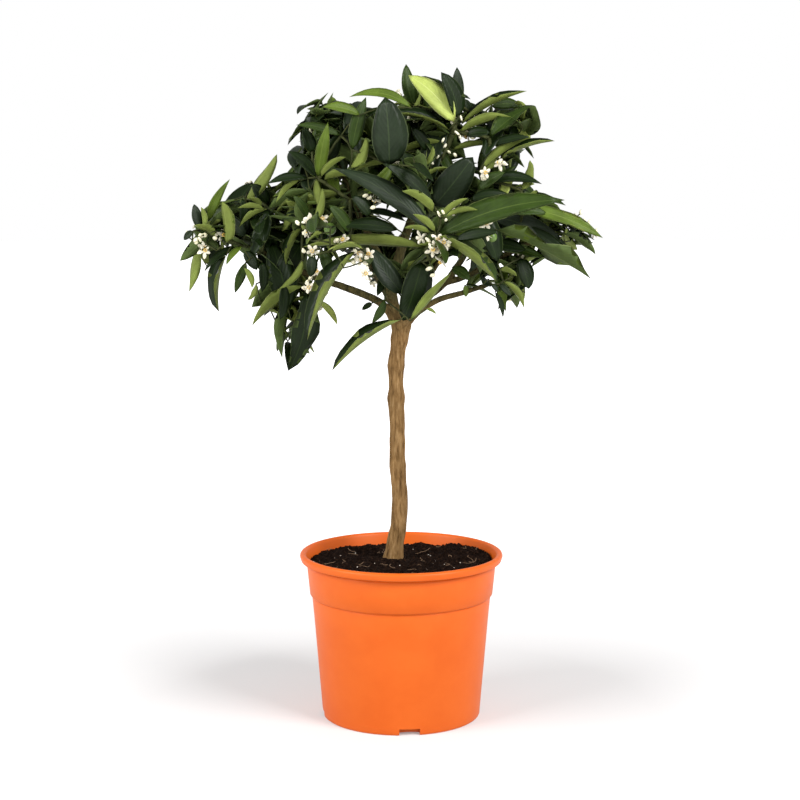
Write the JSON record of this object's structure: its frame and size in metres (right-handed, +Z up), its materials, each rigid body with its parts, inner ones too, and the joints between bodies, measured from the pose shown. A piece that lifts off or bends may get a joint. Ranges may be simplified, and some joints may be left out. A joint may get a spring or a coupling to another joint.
{
  "type": "potted calamondin tree",
  "caption": "Small standard citrus tree in flower, with a bare trunk and a wide leafy crown, in a plain round nursery pot.",
  "frame": {"origin": "centre of the flat underside of the pot, on the surface it stands on", "axes": "+Z up along the pot's axis; -Y towards the viewer of the reference view; +X to that viewer's right"},
  "size_m": [0.3452, 0.29, 0.5418],
  "materials": {
    "pot_plastic": "satin moulded orange plastic",
    "potting_soil": "dark, moist, crumbly",
    "bark": "brown bark with fine upright fissures",
    "foliage": "glossy dark green leaves, paler below"
  },
  "bodies": {
    "root": {"pot": "pot_plastic", "soil": "potting_soil", "trunk": "bark", "leader": "bark", "bough_left": "bark", "bough_left_upper": "bark", "bough_right_low": "bark", "bough_right_upper": "bark", "bough_right_outer": "bark", "bough_front_left": "bark", "bough_front_right": "bark", "bough_back_left": "bark", "bough_back_right": "bark", "mass_left_tip": "foliage", "mass_left_arm": "foliage", "mass_left_under": "foliage", "mass_left_shoulder": "foliage", "mass_upper_left": "foliage", "mass_crown_top": "foliage", "mass_upper_right": "foliage", "mass_heart": "foliage", "mass_right_shoulder": "foliage", "mass_right_tip": "foliage", "mass_right_low": "foliage", "mass_centre_low": "foliage", "mass_front_left": "foliage", "mass_front_right": "foliage", "mass_front_top": "foliage", "mass_back_left": "foliage", "mass_back_right": "foliage", "mass_back_top": "foliage", "mass_back_low": "foliage"}
  },
  "joints": []
}
